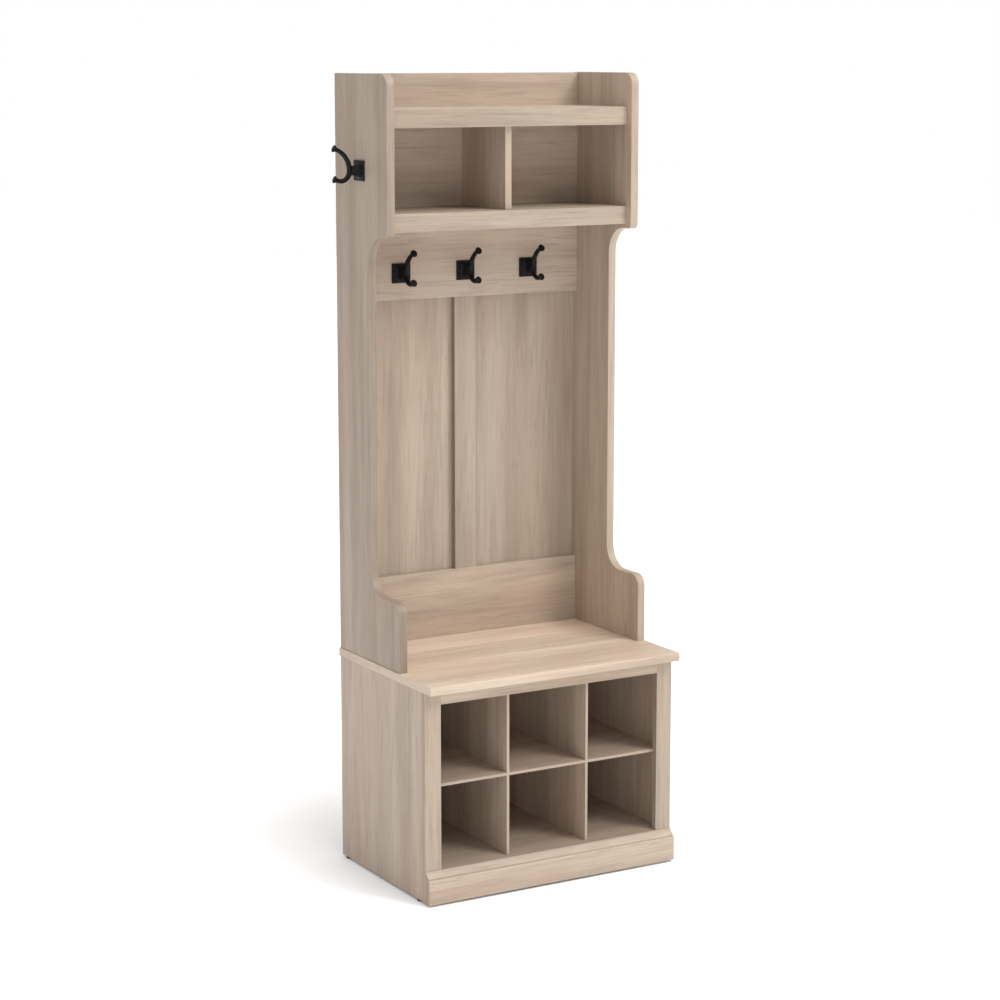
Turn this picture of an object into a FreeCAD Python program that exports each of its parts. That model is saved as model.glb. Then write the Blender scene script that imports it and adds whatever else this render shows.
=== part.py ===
# Hall tree: a coat rack with a gallery shelf and two cubbies over an open seat bay,
# standing on a shoe bench with six cubbies. Flat-pack boards, cam fittings and cast hooks.
# Frame: +X to the right seen from the front, front faces -Y, +Z up, origin on the floor
# under the middle of the overall box. The side hook widens that box to the left, so the
# carcass's middle plane stands at x = middlePlane. Millimetres.
import FreeCAD, Part
import math
import os
import re
import Sketcher

doc = FreeCAD.newDocument("HallTree")
Vector = FreeCAD.Vector

# ---------------------------------------------------------------- driving sizes
SIZES = {
    # bench seat and carcass
    "seatWidth": 610, "seatDepth": 413, "seatThick": 18, "seatTop": 469.5,
    "carcassWidth": 606, "backProud": 3.5, "middlePlane": 30,
    # shoe bench
    "benchSideThick": 15, "benchSideDepth": 366, "stileThick": 15, "stileWidth": 37.5,
    "seatRailHigh": 28, "deckThick": 15, "deckTop": 72.5, "gridThick": 6,
    "plinthThick": 17, "plinthTop": 72.5, "plinthBeadTop": 57.5, "plinthBead": 3.8,
    "plinthStep": 12.8, "plinthSlopeFoot": 60.5, "plinthLip": 3, "plinthRound": 2,
    "glideHigh": 5, "glideRadius": 7.5, "glideInset": 20, "glideShank": 12,
    # hutch sides
    "hutchSideThick": 18, "hutchTop": 1697.5, "crownDepth": 232.5, "crownBottom": 1367,
    "waistDepth": 147, "armDepth": 274, "armTop": 616,
    "crownTopRadius": 25, "crownLowerRadius": 12, "waistUpperRadius": 55,
    "waistLowerRadius": 50, "armRadius": 25,
    # hutch back and shelves
    "boardThick": 15, "upperBackBottom": 1217.5, "upperBackTop": 1696.5,
    "lowerBackTop": 617, "centreStileWidth": 52, "railHigh": 38, "railDepth": 216,
    "topShelfTop": 1626, "cubbyFloorTop": 1415,
    # thin back sheets
    "sheetThick": 2.5, "sheetOverlap": 18, "sheetInset": 3, "sheetGap": 1,
    # eased edges
    "seatEase": 1, "boardEase": 0.5,
    # hooks
    "hookSpacing": 157.5, "hookLevel": 1275, "sideHookLevel": 1500, "sideHookDepth": 113,
    "plateWide": 44, "plateHigh": 42, "plateThick": 4, "plateBevel": 1.4,
    "bossFootWide": 27, "bossFootHigh": 36, "bossWaistWide": 15, "bossWaistHigh": 24,
    "bossWaistReach": 9, "neckWide": 8.6, "neckHigh": 17, "neckReach": 21.5,
    "rodReach": 24, "rodLevel": -0.5, "rodRadius": 5.6, "tipRadius": 4.6,
    "upperArcRadius": 47, "upperArcSweep": 67, "lowerArcRadius": 20.5, "lowerArcSweep": 110,
    "flareRadius": 8.2, "flareLong": 8.6, "flareRim": 1.1,
    # fittings
    "camRadius": 7.5, "camDeep": 12.5, "camInset": 24, "camSlot": 8,
    "boltRadius": 3.5, "boltDeep": 10, "boltReach": 22,
    "dowelRadius": 4, "dowelLong": 30, "dowelSunk": 10,
    "seatScrewRadius": 2, "seatScrewLong": 43, "seatScrewHead": 4,
    "hookScrewRadius": 1.9, "hookScrewLong": 16, "hookScrewHead": 3.6, "hookScrewSpread": 16.3,
    "sheetScrewRadius": 1.4, "sheetScrewLong": 12, "sheetScrewHead": 3.2, "sheetScrewDome": 1,
}

sheet = doc.addObject("Spreadsheet::Sheet", "Sizes")
for row, (alias, value) in enumerate(SIZES.items(), start=1):
    sheet.set("A%d" % row, alias)
    sheet.set("B%d" % row, str(value))
    sheet.setAlias("B%d" % row, alias)
doc.recompute()

# derived places, written as expressions over the sheet
BACK = "(seatDepth / 2 - backProud)"
HALF = "(carcassWidth / 2)"
SEAT_UNDER = "(seatTop - seatThick)"
STILE_FRONT = "(benchSideDepth + stileThick)"
BENCH_INNER = "(carcassWidth / 2 - benchSideThick)"
HUTCH_INNER = "(carcassWidth / 2 - hutchSideThick)"
OPEN_TOP = "(seatTop - seatThick - seatRailHigh)"
SHELF_DEPTH = "(railDepth - boardThick)"
GRID_MIDDLE = "((deckTop + seatTop - seatThick - seatRailHigh) / 2)"
DIVIDER_X = "((carcassWidth / 2 - benchSideThick) / 3 + gridThick / 6)"


def full(expression):
    """Sheet words in an expression, written as FreeCAD wants them."""
    return re.sub(r"[A-Za-z]\w*", lambda m: "Sizes." + m.group(0) if m.group(0) in SIZES
                  else m.group(0), str(expression))


def number(expression):
    return float(sheet.evalExpression(full(expression)))


def bind(target, prop, expression):
    target.setExpression(prop, full(expression))


def put(target, x, y, z):
    for axis, value in zip("xyz", (x, y, z)):
        bind(target, "Placement.Base." + axis, value)


def stand(target, x, y, z):
    """Places a piece in the part's frame, with x counted from the carcass's middle plane."""
    put(target, "middlePlane + (%s)" % x, y, z)


def behind(depth):
    """The y of a plane that lies depth in front of the carcass's back."""
    return "%s - (%s)" % (BACK, depth)


# ---------------------------------------------------------------- blanks
def board(name, size, corner, ease="boardEase"):
    """A rectangular board with its low corner at corner and all its edges eased."""
    body = doc.addObject("PartDesign::Body", name + "_body")
    blank = body.newObject("PartDesign::AdditiveBox", name + "_blank")
    for prop, value in zip(("Length", "Width", "Height"), size):
        bind(blank, prop, value)
    stand(body, *corner)
    doc.recompute()
    if ease:
        ease_edges(body, name, blank, blank.Shape.Edges, ease)
    return body


def ease_edges(body, name, base, edges, radius):
    """Rounds the given edges of the feature base, which is the body's last one."""
    names = ["Edge%d" % (i + 1) for i, edge in enumerate(base.Shape.Edges)
             if any(edge.isSame(wanted) for wanted in edges)]
    ease = body.newObject("PartDesign::Fillet", name + "_ease")
    ease.Base = (base, names)
    bind(ease, "Radius", radius)
    doc.recompute()
    return ease


def plane_of(body, role):
    return next(f for f in body.Origin.OriginFeatures if f.Role == role)


def outline(body, name, role, points):
    """A closed sketch of straight horizontal and vertical lines through points, each given
    as a pair of expressions in the plane's own axes."""
    sketch = body.newObject("Sketcher::SketchObject", name)
    sketch.AttachmentSupport = [(plane_of(body, role), "")]
    sketch.MapMode = "FlatFace"
    places = [Vector(number(a), number(b), 0) for a, b in points]
    for start, end in zip(places, places[1:] + places[:1]):
        sketch.addGeometry(Part.LineSegment(start, end), False)
    join_lines(sketch, len(points))
    for i, point in enumerate(points):
        pin_point(sketch, i, point, "p%d" % i)
    return sketch


def join_lines(sketch, count):
    for i in range(count):
        sketch.addConstraint(Sketcher.Constraint("Coincident", i, 2, (i + 1) % count, 1))


def pin_point(sketch, line, point, name):
    """Holds the start of a line at a pair of expressions from the sketch's origin."""
    for kind, axis, value in (("DistanceX", "x", point[0]), ("DistanceY", "y", point[1])):
        index = sketch.addConstraint(Sketcher.Constraint(kind, -1, 1, line, 1, number(value)))
        sketch.renameConstraint(index, name + axis)
        bind(sketch, "Constraints." + name + axis, value)


def padded(name, role, points, length, place):
    """A body made by padding an outline; returns the body and its pad."""
    body = doc.addObject("PartDesign::Body", name + "_body")
    sketch = outline(body, name + "_outline", role, points)
    pad = body.newObject("PartDesign::Pad", name + "_pad")
    pad.Profile = sketch
    bind(pad, "Length", length)
    stand(body, *place)
    doc.recompute()
    return body, pad


def edge_at(shape, low, high):
    """Edges of shape whose middle lies between two corners."""
    box = FreeCAD.BoundBox(*low, *high)
    return [e for e in shape.Edges if box.isInside(e.BoundBox.Center)]


# ---------------------------------------------------------------- shaped boards
def hutch_side(name, x):
    """Upright with a deep crown round the cubbies, a narrow waist and an arm on the seat."""
    points = [(behind(0), "seatTop"), (behind("armDepth"), "seatTop"),
              (behind("armDepth"), "armTop"), (behind("waistDepth"), "armTop"),
              (behind("waistDepth"), "crownBottom"), (behind("crownDepth"), "crownBottom"),
              (behind("crownDepth"), "hutchTop"), (behind(0), "hutchTop")]
    body, last = padded(name, "YZ_Plane", points, "hutchSideThick", (x, "0", "0"))
    corners = [(2, "armRadius"), (3, "waistLowerRadius"), (4, "waistUpperRadius"),
               (5, "crownLowerRadius"), (6, "crownTopRadius")]
    thick = number("hutchSideThick")
    for index, radius in corners:
        y, z = (number(value) for value in points[index])
        edges = edge_at(last.Shape, (1, y - 1, z - 1), (thick - 1, y + 1, z + 1))
        last = ease_edges(body, "%s_round%d" % (name, index), last, edges, radius)
    rims = [e for e in last.Shape.Edges if e.BoundBox.XLength < 0.01]
    ease_edges(body, name, last, rims, "seatEase")
    return body


def plinth(name):
    """Base moulding: flat face, rounded bead, a step, a slope that leans back, small top round."""
    points = [("0", "glideHigh"), ("-plinthThick", "glideHigh"), ("-plinthThick", "plinthBeadTop"),
              ("-plinthStep", "plinthBeadTop"), ("-plinthStep", "plinthSlopeFoot"),
              ("-plinthLip", "plinthTop - plinthLip"), ("-plinthLip", "plinthTop"),
              ("0", "plinthTop")]
    body, last = padded(name, "YZ_Plane", points, "carcassWidth",
                        ("-" + HALF, behind(STILE_FRONT), "0"))
    for index, radius in ((2, "plinthBead"), (6, "plinthRound")):
        y, z = (number(value) for value in points[index])
        edges = edge_at(last.Shape, (1, y - 0.5, z - 0.5), (number("carcassWidth") - 1, y + 0.5, z + 0.5))
        last = ease_edges(body, "%s_round%d" % (name, index), last, edges, radius)
    return body


def notched(name, blank, boxes):
    """A blank with rectangular notches; boxes are (size, corner) pairs."""
    tools = []
    for i, (size, corner) in enumerate(boxes):
        tool = doc.addObject("Part::Box", "%s_notch%d" % (name, i))
        for prop, value in zip(("Length", "Width", "Height"), size):
            bind(tool, prop, value)
        stand(tool, *corner)
        tools.append(tool)
    return cut(name + "_notched", blank, group(name + "_notches", tools))


def cut(name, base, tool):
    result = doc.addObject("Part::Cut", name)
    result.Base = base
    result.Tool = tool
    return result


def group(name, members):
    result = doc.addObject("Part::Compound", name)
    result.Links = members
    return result


# ---------------------------------------------------------------- fittings
def cylinder(name, radius, height, lift="0"):
    result = doc.addObject("Part::Cylinder", name)
    bind(result, "Radius", radius)
    bind(result, "Height", height)
    bind(result, "Placement.Base.z", lift)
    return result


def copies(name, pattern, places, rotation=FreeCAD.Rotation()):
    """Links to one fitting, one at each place, grouped as separate solids."""
    links = []
    for i, (x, y, z) in enumerate(places):
        link = doc.addObject("App::Link", "%s_%d" % (name, i))
        link.LinkedObject = pattern
        link.Placement.Rotation = rotation
        stand(link, x, y, z)
        links.append(link)
    return group(name, links)


def fused(name, shapes):
    result = doc.addObject("Part::MultiFuse", name)
    result.Shapes = shapes
    return result


def screw(name, radius, length, head_radius, head_high):
    """Countersunk screw along +Z with the flat of its head at the origin."""
    head = doc.addObject("Part::Cone", name + "_head")
    bind(head, "Radius1", head_radius)
    bind(head, "Radius2", radius)
    bind(head, "Height", head_high)
    return fused(name, [head, cylinder(name + "_shank", radius, length)])


def cam():
    """Cam disc that stands up from a board's underside, slotted for the bolt's head."""
    disc = cylinder("cam_disc", "camRadius", "camDeep")
    slot = doc.addObject("Part::Box", "cam_slot")
    bind(slot, "Length", "camRadius * 2")
    bind(slot, "Width", "camSlot")
    bind(slot, "Height", "camSlot")
    put(slot, "-camRadius / 4", "-camSlot / 2", "boardThick / 2 - camSlot / 2")
    return cut("cam", disc, slot)


# ---------------------------------------------------------------- hooks
def on_arc(centre, radius, angle):
    return centre + Vector(0, -radius * math.cos(angle), radius * math.sin(angle))


def arm_rod():
    """One tapered rod along two arcs in the YZ plane that meet upright at the neck; returns it
    with the foot and direction of each tip."""
    reach, level = number("rodReach"), number("rodLevel")
    arcs = []
    for radius, sweep in (("upperArcRadius", "-upperArcSweep"), ("lowerArcRadius", "lowerArcSweep")):
        turn = math.radians(number(sweep))
        centre = Vector(0, -reach - number(radius), level)
        arcs.append([on_arc(centre, number(radius), math.pi + turn * part) for part in (0, 0.5, 1)])
    upper, lower = arcs
    spine = Part.Wire([Part.Arc(*reversed(upper)).toShape(), Part.Arc(*lower).toShape()])
    tips = []
    for points, sweep in ((upper, "-upperArcSweep"), (lower, "lowerArcSweep")):
        angle = math.pi + math.radians(number(sweep))
        along = Vector(0, math.sin(angle), math.cos(angle)) * math.copysign(1, number(sweep))
        tips.append((points[-1], along))
    shell = Part.BRepOffsetAPI.MakePipeShell(spine)
    shell.setFrenetMode(True)
    rings = [tips[0] + ("tipRadius",), (upper[0], Vector(0, 0, 1), "rodRadius"),
             tips[1] + ("tipRadius",)]
    for place, along, radius in rings:
        shell.add(Part.Wire([Part.Circle(place, along, number(radius)).toShape()]))
    shell.build()
    shell.makeSolid()
    return shell.shape(), tips


def flare(foot, along):
    """Trumpet end with a rounded rim and a gently domed face, turned about its own axis."""
    neck, radius, length = number("tipRadius"), number("flareRadius"), number("flareLong")
    rim = number("flareRim")
    brow = radius - rim
    ball = (brow * brow + rim * rim) / (2 * rim)
    half = math.asin(brow / ball) / 2
    foot_mid, throat = Vector(0, 0, 0), Vector(neck, 0, 0)
    belly = Vector(neck + (radius - neck) / 5, 0, length / 2)
    lip, crest = Vector(radius - rim / 3, 0, length - rim * 2), Vector(radius, 0, length - rim)
    edge, dome = Vector(brow, 0, length), Vector(0, 0, length + rim)
    shoulder = Vector(ball * math.sin(half), 0, length + rim - ball + ball * math.cos(half))
    curves = [Part.LineSegment(foot_mid, throat), Part.Arc(throat, belly, lip),
              Part.Arc(lip, crest, edge), Part.Arc(edge, shoulder, dome),
              Part.LineSegment(dome, foot_mid)]
    face = Part.Face(Part.Wire([curve.toShape() for curve in curves]))
    solid = face.revolve(foot_mid, Vector(0, 0, 1), 360)
    solid.Placement = FreeCAD.Placement(foot, FreeCAD.Rotation(Vector(0, 0, 1), along))
    return solid


def frustum(sections):
    """A loft through upright rectangles, each (wide, high, reach)."""
    wires = []
    for wide, high, reach in sections:
        x, z = wide / 2, high / 2
        corners = [Vector(-x, -reach, -z), Vector(x, -reach, -z), Vector(x, -reach, z),
                   Vector(-x, -reach, z)]
        wires.append(Part.makePolygon(corners + corners[:1]))
    return Part.makeLoft(wires, True, True)


def hook_arms():
    """Boss, neck and the two arms: a freeform casting, sized from the sheet."""
    boss = frustum([(number("bossFootWide"), number("bossFootHigh"), number("plateThick") - 1),
                    (number("bossWaistWide"), number("bossWaistHigh"), number("bossWaistReach")),
                    (number("neckWide"), number("neckHigh"), number("neckReach"))])
    rod, tips = arm_rod()
    arms = rod.fuse([boss] + [flare(foot, along) for foot, along in tips])
    feature = doc.addObject("Part::Feature", "hook_arms")
    feature.Shape = arms.removeSplitter()
    return feature


def hook_casting():
    """Mounting plate with a bevelled face, joined to the boss and arms. Reaches to -Y."""
    plate = doc.addObject("Part::Box", "hook_plate")
    for prop, value in (("Length", "plateWide"), ("Width", "plateThick"), ("Height", "plateHigh")):
        bind(plate, prop, value)
    put(plate, "-plateWide / 2", "-plateThick", "-plateHigh / 2")
    doc.recompute()
    bevel = doc.addObject("Part::Chamfer", "hook_plate_bevel")
    bevel.Base = plate
    size, face = number("plateBevel"), -number("plateThick")
    bevel.Edges = [(i + 1, size, size) for i, e in enumerate(plate.Shape.Edges)
                   if abs(e.BoundBox.YMax - face) < 0.01]
    return fused("hook_casting", [bevel, hook_arms()])


# ---------------------------------------------------------------- where the fittings go
def both(value):
    return [value, "-(%s)" % value]


hook_places = [("-hookSpacing", behind("boardThick"), "hookLevel"),
               ("0", behind("boardThick"), "hookLevel"),
               ("hookSpacing", behind("boardThick"), "hookLevel")]
side_hook_place = ("-" + HALF, behind("sideHookDepth"), "sideHookLevel")
TO_LEFT = FreeCAD.Rotation(Vector(0, 0, 1), -90)
INTO_BACK = FreeCAD.Rotation(Vector(1, 0, 0), -90)
FROM_BACK = FreeCAD.Rotation(Vector(1, 0, 0), 90)
INTO_RIGHT = FreeCAD.Rotation(Vector(0, 1, 0), 90)
INTO_LEFT = FreeCAD.Rotation(Vector(0, 1, 0), -90)

# depths are from the back plane, heights from the floor and the rest from the middle plane
shelf_cam_depths = ("50", "165")
deck_cam_depths = ("60", "310")
hutch_foot_depths = ("45", "235")
bench_head_depths = ("90", "330")
cubby_divider_depths = ("60", "150")
rail_dowel_sides = ("-200", "0", "200")
back_board_heights = ("500", "585", "1260", "1460", "1660")
seat_screw_sides = ("-190", "0", "190")
hutch_side_screw_heights = ("660", "790", "920", "1050", "1180")
panel_screw_sides = ("-200", "-80", "80", "200")
centre_stile_screw_heights = ("720", "920", "1120")
bench_side_screw_heights = ("40", "140", "240", "340", "435")

shelf_levels = [("topShelfTop - boardThick", HUTCH_INNER, shelf_cam_depths),
                ("cubbyFloorTop - boardThick", HUTCH_INNER, shelf_cam_depths),
                ("deckTop - deckThick", BENCH_INNER, deck_cam_depths)]
cam_places = {sign: [("%s(%s - camInset)" % (sign, inner), behind(depth), level)
                     for level, inner, depths in shelf_levels for depth in depths]
              for sign in ("", "-")}
bolt_places = {sign: [("%s(%s + boltDeep)" % (sign, inner), behind(depth),
                       "%s + boardThick / 2" % level)
                      for level, inner, depths in shelf_levels for depth in depths]
               for sign in ("", "-")}
hutch_foot_dowels = [(x, behind(depth), "seatTop - dowelSunk")
                     for x in both(HALF + " - hutchSideThick / 2") for depth in hutch_foot_depths]
bench_head_dowels = [(x, behind(depth), "%s - dowelLong + dowelSunk" % SEAT_UNDER)
                     for x in both(HALF + " - benchSideThick / 2") for depth in bench_head_depths]
divider_dowels = [("0", behind(depth), z) for depth in cubby_divider_depths
                  for z in ("cubbyFloorTop - dowelSunk",
                            "topShelfTop - boardThick + dowelSunk - dowelLong")]
centre_stile_dowels = [(x, behind("boardThick / 2"), z) for x in both("centreStileWidth / 4")
                       for z in ("lowerBackTop - dowelSunk",
                                 "upperBackBottom + dowelSunk - dowelLong")]
rail_dowels = [(x, behind(SHELF_DEPTH + " + dowelSunk"), level + " - boardThick / 2")
               for x in rail_dowel_sides for level in ("topShelfTop", "cubbyFloorTop")]
back_board_dowels = {sign: [("%s(%s + dowelSunk)" % (sign, HUTCH_INNER),
                             behind("boardThick / 2"), z)
                            for z in back_board_heights]
                     for sign in ("", "-")}
for sign in ("", "-"):
    back_board_dowels[sign].append(("%s(%s - stileWidth + dowelSunk)" % (sign, HALF),
                                    behind("benchSideDepth + stileThick / 2"),
                                    OPEN_TOP + " + seatRailHigh / 2"))
seat_screw_places = [(x, behind("boardThick / 2"), SEAT_UNDER) for x in seat_screw_sides]
glide_places = [(x, y, "0") for x in both(HALF + " - benchSideThick / 2")
                for y in (behind("glideInset"), behind("benchSideDepth - glideInset"))]
sheet_face = "%s + sheetThick" % BACK
sheet_screw_places = [(x, sheet_face, z) for x in both(HALF + " - hutchSideThick / 2")
                      for z in hutch_side_screw_heights]
sheet_screw_places += [(x, sheet_face, z) for x in panel_screw_sides
                       for z in ("lowerBackTop - sheetOverlap / 2",
                                 "upperBackBottom + sheetOverlap / 2")]
sheet_screw_places += [(x, sheet_face, z) for x in both("centreStileWidth / 4")
                       for z in centre_stile_screw_heights]
sheet_screw_places += [(x, sheet_face, z) for x in both(HALF + " - benchSideThick / 2")
                       for z in bench_side_screw_heights]
sheet_screw_places += [(x, sheet_face, "deckTop - deckThick / 2") for x in seat_screw_sides]

# ---------------------------------------------------------------- fitting groups
def mirrored_pair(name, pattern, places, right, left):
    """One group of fittings for each end of the boards, turned to face outwards."""
    return group(name, [copies(name + "_right", pattern, places[""], right),
                        copies(name + "_left", pattern, places["-"], left)])


UPRIGHT = FreeCAD.Rotation()
TURNED = FreeCAD.Rotation(Vector(0, 0, 1), 180)
cam_locks = mirrored_pair("cam_locks", cam(), cam_places, UPRIGHT, TURNED)
cam_bores = mirrored_pair("cam_bores", cylinder("cam_bore", "camRadius", "camDeep"), cam_places,
                          UPRIGHT, TURNED)
bolt = cylinder("bolt", "boltRadius", "boltDeep + boltReach")
cam_bolts = mirrored_pair("cam_bolts", bolt, bolt_places, INTO_LEFT, INTO_RIGHT)
dowel = cylinder("dowel", "dowelRadius", "dowelLong")
dowels = group("dowels", [
    copies("upright_dowels", dowel, hutch_foot_dowels + bench_head_dowels + divider_dowels
           + centre_stile_dowels),
    copies("rail_dowels", dowel, rail_dowels, INTO_BACK),
    mirrored_pair("back_board_dowels", dowel, back_board_dowels, INTO_LEFT, INTO_RIGHT)])
seat_screws = copies("seat_screws", screw("seat_screw", "seatScrewRadius", "seatScrewLong",
                                          "seatScrewHead", "seatScrewHead / 2"),
                     seat_screw_places)
glide = fused("glide", [cylinder("glide_pad", "glideRadius", "glideHigh"),
                        cylinder("glide_shank", "seatScrewRadius / 2", "glideHigh + glideShank")])
glides = copies("glides", glide, glide_places)
sheet_screw = fused("sheet_screw", [cylinder("sheet_screw_dome", "sheetScrewHead",
                                             "sheetScrewDome", "-sheetScrewDome"),
                                    cylinder("sheet_screw_shank", "sheetScrewRadius",
                                             "sheetScrewLong")])
back_sheet_screws = copies("back_sheet_screws", sheet_screw, sheet_screw_places, FROM_BACK)


def hook_screw_group():
    """Two countersunk screws in each hook's plate, heads flush with its face."""
    pattern = screw("hook_screw", "hookScrewRadius", "hookScrewLong", "hookScrewHead",
                    "hookScrewHead / 2")
    heads = [("%s + %s" % (x, shift), "%s - plateThick" % y, z) for x, y, z in hook_places
             for shift in both("hookScrewSpread")]
    x, y, z = side_hook_place
    side_heads = [("%s - plateThick" % x, "%s + %s" % (y, shift), z)
                  for shift in both("hookScrewSpread")]
    return group("hook_screws", [copies("back_hook_screws", pattern, heads, INTO_BACK),
                                 copies("side_hook_screws", pattern, side_heads, INTO_RIGHT)])


hook_screws = hook_screw_group()
bores = group("bores", [cam_bores, cam_bolts, dowels, seat_screws, glides, back_sheet_screws,
                        hook_screws])
doc.recompute()

# ---------------------------------------------------------------- the pieces
pieces = {}


def bored(name, blank):
    """The finished board: its blank less every fitting that runs through it."""
    pieces[name] = cut(name, blank, bores)


def pair(name, size, depth_corner):
    """Left and right boards as mirror images; the x size runs in from the outer face."""
    for side, x in (("left", "-" + HALF), ("right", "%s - %s" % (HALF, size[0]))):
        full_name = "%s_%s" % (side, name)
        bored(full_name, board(full_name, size, (x,) + depth_corner))


def bench():
    high = "%s - glideHigh" % SEAT_UNDER
    pair("bench_side", ("benchSideThick", "benchSideDepth", high),
         (behind("benchSideDepth"), "glideHigh"))
    pair("stile", ("stileWidth", "stileThick", high), (behind(STILE_FRONT), "glideHigh"))
    bored("bench_seat", board("bench_seat", ("seatWidth", "seatDepth", "seatThick"),
                              ("-seatWidth / 2", "-seatDepth / 2", SEAT_UNDER), "seatEase"))
    bored("seat_rail", board("seat_rail", ("carcassWidth - 2 * stileWidth", "stileThick",
                                           "seatRailHigh"),
                             ("-%s + stileWidth" % HALF, behind(STILE_FRONT), OPEN_TOP)))
    bored("plinth", plinth("plinth"))
    deck()
    grid()
    bored("bench_back_sheet", board("bench_back_sheet",
                                    ("carcassWidth - 2 * sheetInset", "sheetThick",
                                     "%s - glideHigh - 2 * sheetInset" % SEAT_UNDER),
                                    ("-%s + sheetInset" % HALF, BACK, "glideHigh + sheetInset"),
                                    None))


def deck():
    """Bottom shelf, notched at its front corners to pass between the stiles."""
    wide = "2 * " + BENCH_INNER
    blank = board("bench_deck", (wide, STILE_FRONT, "deckThick"),
                  ("-" + BENCH_INNER, behind(STILE_FRONT), "deckTop - deckThick"), None)
    notch = ("stileWidth - benchSideThick", "stileThick", "deckThick")
    low = "deckTop - deckThick"
    boxes = [(notch, ("-" + BENCH_INNER, behind(STILE_FRONT), low)),
             (notch, ("%s - stileWidth" % HALF, behind(STILE_FRONT), low))]
    bored("bench_deck", notched("bench_deck", blank, boxes))


def grid():
    """Thin shelf and two dividers, half-lapped: the shelf is slotted from behind and each
    divider from the front."""
    half_deep = "benchSideDepth / 2"
    slot_shelf = [(("gridThick", half_deep, "gridThick"),
                   ("%s - gridThick / 2" % x, behind(half_deep), GRID_MIDDLE + " - gridThick / 2"))
                  for x in both(DIVIDER_X)]
    shelf = board("middle_shelf", ("2 * " + BENCH_INNER, "benchSideDepth", "gridThick"),
                  ("-" + BENCH_INNER, behind("benchSideDepth"), GRID_MIDDLE + " - gridThick / 2"))
    bored("middle_shelf", notched("middle_shelf", shelf, slot_shelf))
    for side, x in (("left", "-" + DIVIDER_X), ("right", DIVIDER_X)):
        name = side + "_divider"
        blank = board(name, ("gridThick", "benchSideDepth", SEAT_UNDER + " - deckTop"),
                      (x + " - gridThick / 2", behind("benchSideDepth"), "deckTop"))
        slot = (("gridThick", half_deep, "gridThick"),
                (x + " - gridThick / 2", behind("benchSideDepth"),
                 GRID_MIDDLE + " - gridThick / 2"))
        bored(name, notched(name, blank, [slot]))


def hutch():
    bored("left_hutch_side", hutch_side("left_hutch_side", "-" + HALF))
    bored("right_hutch_side", hutch_side("right_hutch_side", HUTCH_INNER))
    wide = "2 * " + HUTCH_INNER
    left = "-" + HUTCH_INNER
    backs = {"lower_back_board": ("seatTop", "lowerBackTop"),
             "upper_back_board": ("upperBackBottom", "upperBackTop")}
    for name, (low, high) in backs.items():
        bored(name, board(name, (wide, "boardThick", "%s - %s" % (high, low)),
                          (left, behind("boardThick"), low)))
    bored("centre_stile", board("centre_stile", ("centreStileWidth", "boardThick",
                                                 "upperBackBottom - lowerBackTop"),
                                ("-centreStileWidth / 2", behind("boardThick"), "lowerBackTop")))
    sheet_size = (HALF + " - sheetInset - sheetGap / 2", "sheetThick",
                  "upperBackBottom - lowerBackTop + 2 * sheetOverlap")
    for side, x in (("left", "-%s + sheetInset" % HALF), ("right", "sheetGap / 2")):
        name = side + "_recess_panel"
        bored(name, board(name, sheet_size, (x, BACK, "lowerBackTop - sheetOverlap"), None))
    shelves(wide, left)


def shelves(wide, left):
    """Gallery shelf and cubby floor, each behind a deeper front rail, and the cubby divider."""
    for name, level in (("top_shelf", "topShelfTop"), ("cubby_floor", "cubbyFloorTop")):
        bored(name, board(name, (wide, SHELF_DEPTH + " - boardThick", "boardThick"),
                          (left, behind(SHELF_DEPTH), level + " - boardThick")))
        bored(name + "_rail", board(name + "_rail", (wide, "boardThick", "railHigh"),
                                    (left, behind("railDepth"), level + " - railHigh")))
    high = "topShelfTop - boardThick - cubbyFloorTop"
    bored("cubby_divider", board("cubby_divider", ("boardThick", SHELF_DEPTH + " - boardThick",
                                                   high),
                                 ("-boardThick / 2", behind(SHELF_DEPTH), "cubbyFloorTop")))


def hooks():
    """Four castings on the boards, with their screw seats cut."""
    casting = hook_casting()
    spots = dict(zip(("left_hook", "middle_hook", "right_hook"), hook_places))
    spots["side_hook"] = side_hook_place
    for name, place in spots.items():
        link = doc.addObject("App::Link", name + "_casting")
        link.LinkedObject = casting
        link.Placement.Rotation = TO_LEFT if name == "side_hook" else FreeCAD.Rotation()
        stand(link, *place)
        pieces[name] = cut(name, link, hook_screws)


bench()
hutch()
hooks()
for fitting in (cam_locks, cam_bolts, dowels, seat_screws, glides, back_sheet_screws, hook_screws):
    pieces[fitting.Name] = fitting
for name, piece in pieces.items():
    piece.Label = name
doc.recompute()

# ---------------------------------------------------------------- checks and export
for item in doc.Objects:
    if "Invalid" in item.State or "Error" in item.State:
        raise RuntimeError("%s failed: %s" % (item.Name, item.State))
for name, piece in pieces.items():
    if piece.Shape.isNull() or not piece.Shape.isValid() or not piece.Shape.Solids:
        raise RuntimeError("%s has no valid solid" % name)

os.makedirs("parts", exist_ok=True)
for name, piece in pieces.items():
    piece.Shape.exportStep("parts/%s.step" % name)
    box = piece.Shape.BoundBox
    print("%-20s %2d solids %10.0f mm3  x %7.1f %7.1f  y %7.1f %7.1f  z %7.1f %7.1f"
          % (name, len(piece.Shape.Solids), piece.Shape.Volume, box.XMin, box.XMax,
             box.YMin, box.YMax, box.ZMin, box.ZMax))
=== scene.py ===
# Hall tree with hooks: washed oak-look boards, black cast hooks, plain studio.
import bmesh
import bpy
import math
from mathutils import Matrix, Vector


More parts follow.
